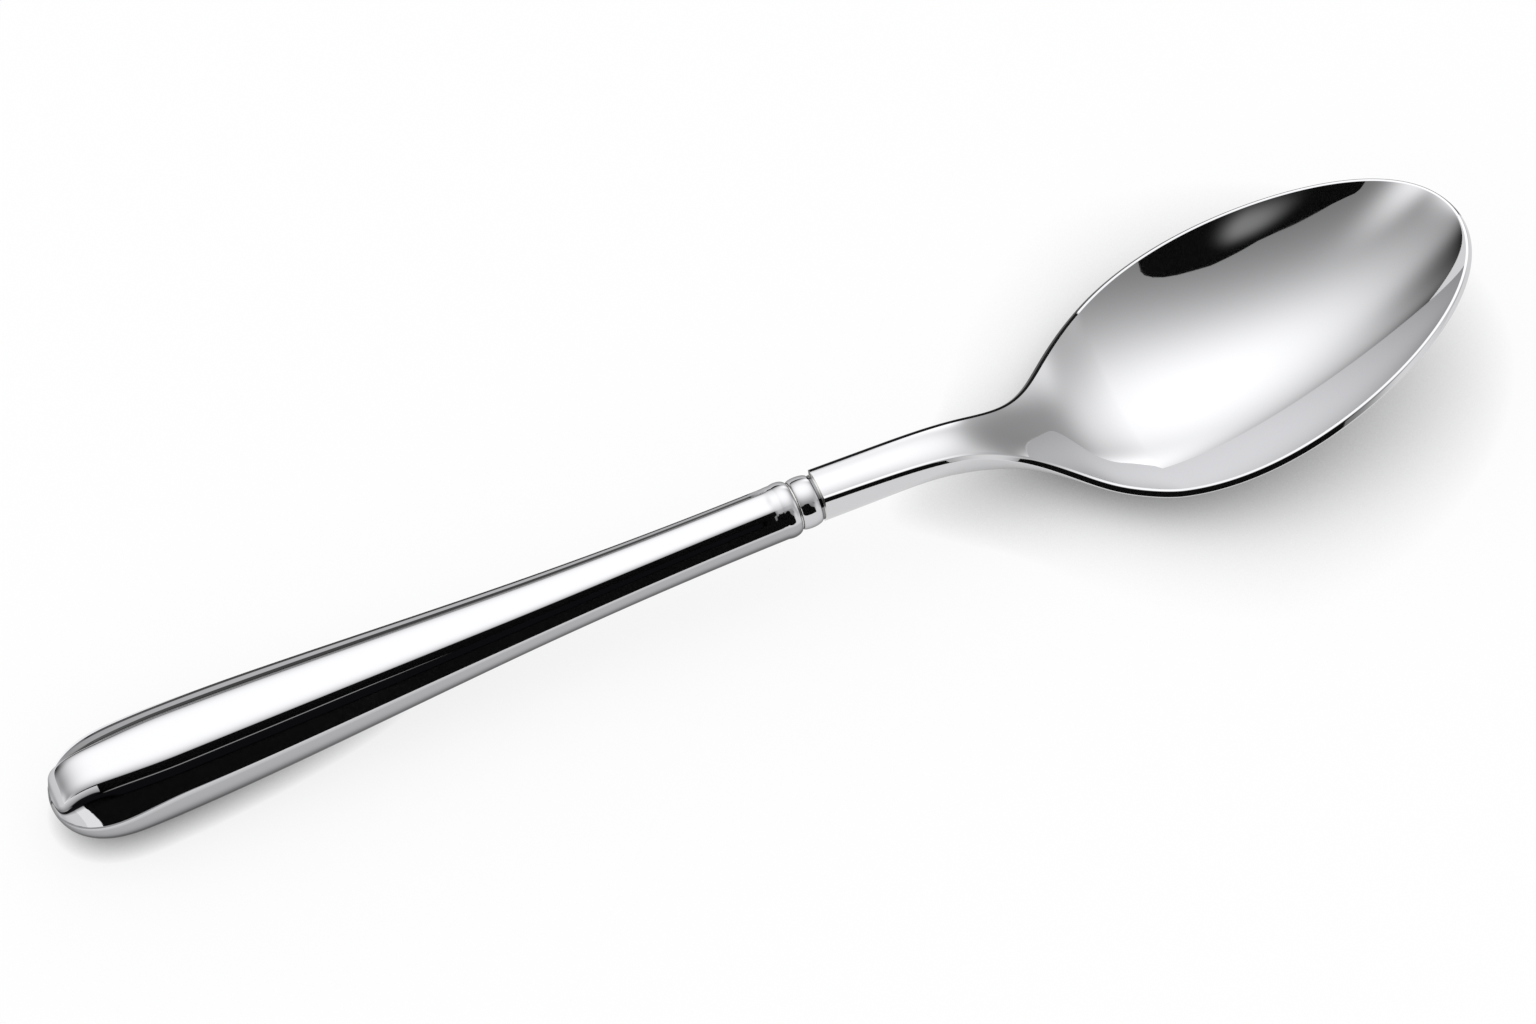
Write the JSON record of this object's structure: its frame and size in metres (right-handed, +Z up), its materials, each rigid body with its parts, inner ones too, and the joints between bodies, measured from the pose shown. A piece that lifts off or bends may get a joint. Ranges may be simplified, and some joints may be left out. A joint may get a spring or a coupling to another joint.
{
  "type": "soup spoon",
  "caption": "Soup spoon with an egg-shaped dished bowl, a waisted neck, a beaded collar and a hollow handle with a raised top panel.",
  "frame": {"origin": "centre of the spoon's bounding box, on the plane that it lies on", "axes": "+X along the spoon towards the bowl's tip, +Y across it, +Z up out of the bowl"},
  "size_m": [0.2056, 0.04, 0.0221],
  "materials": {
    "steel": "mirror polished stainless steel",
    "solder": "bright",
    "cement": "matt"
  },
  "bodies": {
    "root": {"spoon_head": "steel", "collar_ring": "steel", "collar_solder": "solder", "handle_upper_shell": "steel", "handle_lower_shell": "steel", "seam_solder": "solder", "tang_cement": "cement"}
  },
  "joints": []
}
